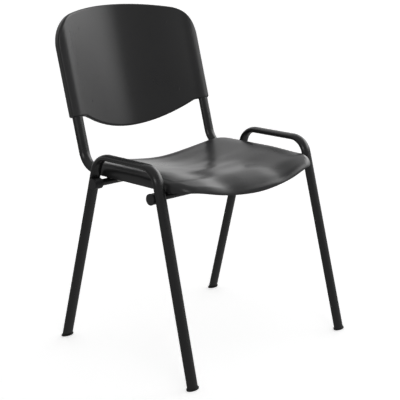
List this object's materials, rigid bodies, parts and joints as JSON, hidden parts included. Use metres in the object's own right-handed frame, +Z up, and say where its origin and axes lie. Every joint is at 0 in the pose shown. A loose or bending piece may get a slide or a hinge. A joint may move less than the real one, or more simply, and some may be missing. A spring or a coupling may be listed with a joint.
{
  "type": "stacking chair",
  "caption": "Four-legged stacking chair: bent oval-tube leg frames, moulded plastic seat and a concave plastic backrest on two upright tubes.",
  "frame": {"origin": "on the floor under the middle of the chair's overall box", "axes": "+Z up, -Y is the chair's front, +X is the sitter's left; the YZ plane is the mirror plane"},
  "size_m": [0.55, 0.5782, 0.8014],
  "materials": {
    "frame_tube": "satin-gloss black powder coat on bent steel tube",
    "end_cap": "moulded black plastic, lightly textured",
    "foot": "hard black plastic, scuffed at the floor",
    "shell_plastic": "dark grey moulded polypropylene with a fine grain",
    "fastener": "zinc-plated steel screws and washers"
  },
  "bodies": {
    "root": {"right_leg_frame": "frame_tube", "left_leg_frame": "frame_tube", "right_back_tube": "frame_tube", "left_back_tube": "frame_tube", "front_crossbar": "frame_tube", "rear_crossbar": "frame_tube", "right_front_crossbar_cap": "end_cap", "left_front_crossbar_cap": "end_cap", "right_rear_crossbar_cap": "end_cap", "left_rear_crossbar_cap": "end_cap", "right_front_foot": "foot", "left_front_foot": "foot", "right_rear_foot": "foot", "left_rear_foot": "foot", "right_rail_plug": "end_cap", "left_rail_plug": "end_cap", "seat_shell": "shell_plastic", "seat_screws": "fastener", "seat_washers": "fastener", "backrest_front_shell": "shell_plastic", "backrest_rear_cover": "shell_plastic", "backrest_screws": "fastener"}
  },
  "joints": []
}
